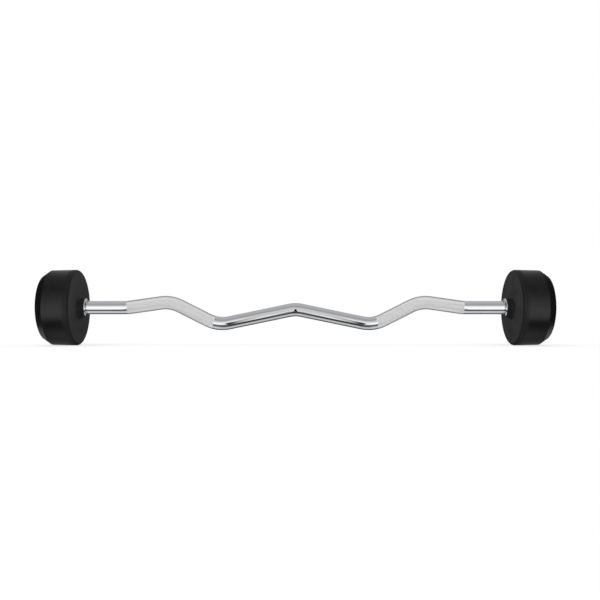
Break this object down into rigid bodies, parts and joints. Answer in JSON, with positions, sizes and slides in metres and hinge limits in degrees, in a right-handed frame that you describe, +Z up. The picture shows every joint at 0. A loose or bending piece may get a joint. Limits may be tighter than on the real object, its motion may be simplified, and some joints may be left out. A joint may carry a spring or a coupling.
{
  "type": "fixed barbell",
  "caption": "Fixed curl barbell: a chromed steel bar bent into a W, with knurled grips, between round rubber-covered heads with bevelled outer edges.",
  "frame": {"origin": "middle of the barbell, on the line through the centres of both heads", "axes": "+X along the bar to the right-hand head, +Z up with the bar's two valleys hanging down, the bends lie in the XZ plane"},
  "size_m": [1.0556, 0.1598, 0.1597],
  "materials": {
    "bar_chrome": "polished chrome plate, knurled on the two grip bands",
    "ring_chrome": "turned and chromed",
    "rubber_skin": "semi-gloss moulded rubber",
    "plug_rubber": "moulded rubber, bare",
    "iron": "as cast",
    "key_steel": "ground",
    "washer_steel": "zinc plated",
    "bolt_steel": "black oxide"
  },
  "bodies": {
    "root": {"curl_bar": "bar_chrome", "left_rubber_cover": "rubber_skin", "left_iron_core": "iron", "left_collar_ring": "ring_chrome", "left_drive_key": "key_steel", "left_end_washer": "washer_steel", "left_lock_washer": "washer_steel", "left_end_bolt": "bolt_steel", "left_end_plug": "plug_rubber", "right_rubber_cover": "rubber_skin", "right_iron_core": "iron", "right_collar_ring": "ring_chrome", "right_drive_key": "key_steel", "right_end_washer": "washer_steel", "right_lock_washer": "washer_steel", "right_end_bolt": "bolt_steel", "right_end_plug": "plug_rubber"}
  },
  "joints": []
}
